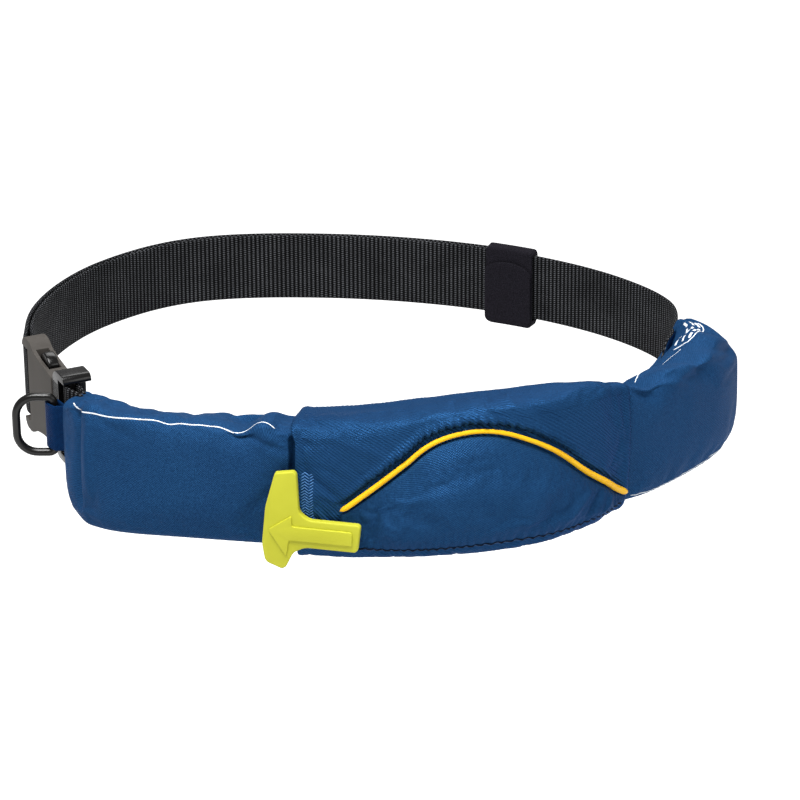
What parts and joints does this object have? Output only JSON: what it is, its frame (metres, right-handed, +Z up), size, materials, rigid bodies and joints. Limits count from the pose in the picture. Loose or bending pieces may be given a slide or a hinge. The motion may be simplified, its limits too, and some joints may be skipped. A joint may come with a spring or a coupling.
{
  "type": "inflatable belt pack",
  "caption": "Padded cloth waist pouch with centre sleeve, piped front pocket and pull handle, on a webbing belt with side-release buckle, keeper and D-ring.",
  "frame": {"origin": "middle of the waist loop, at the webbing's mid-height", "axes": "+X to the wearer's left as seen from the front (the picture's right), +Y from the pouch to the back of the loop, +Z up along the worn waist"},
  "size_m": [0.3708, 0.3103, 0.0811],
  "materials": {
    "pouch_cloth": "matt coated nylon",
    "sleeve_cloth": "satin twill nylon",
    "piping_cord": "satin",
    "handle_plastic": "satin",
    "black_webbing": "woven",
    "black_felt": "brushed",
    "black_plastic": "satin"
  },
  "bodies": {
    "pack": {"pouch": "pouch_cloth", "centre_sleeve": "sleeve_cloth", "pocket": "sleeve_cloth", "piping": "piping_cord", "belt_webbing": "black_webbing", "buckle_strap": "black_webbing", "keeper_loop": "black_felt", "keeper_flap": "black_felt", "buckle_socket": "black_plastic", "buckle_plug": "black_plastic", "ring_tab": "pouch_cloth", "pull_handle": "handle_plastic", "handle_patch": "black_felt"},
    "ring": {"d_ring": "black_plastic"}
  },
  "joints": [
    {"name": "ring_swing", "type": "hinge", "parent": "pack", "child": "ring", "pos_m": [-0.16471, -0.07421, 0], "axis": [0, 0, 1], "range_deg": [-65, 95]}
  ]
}
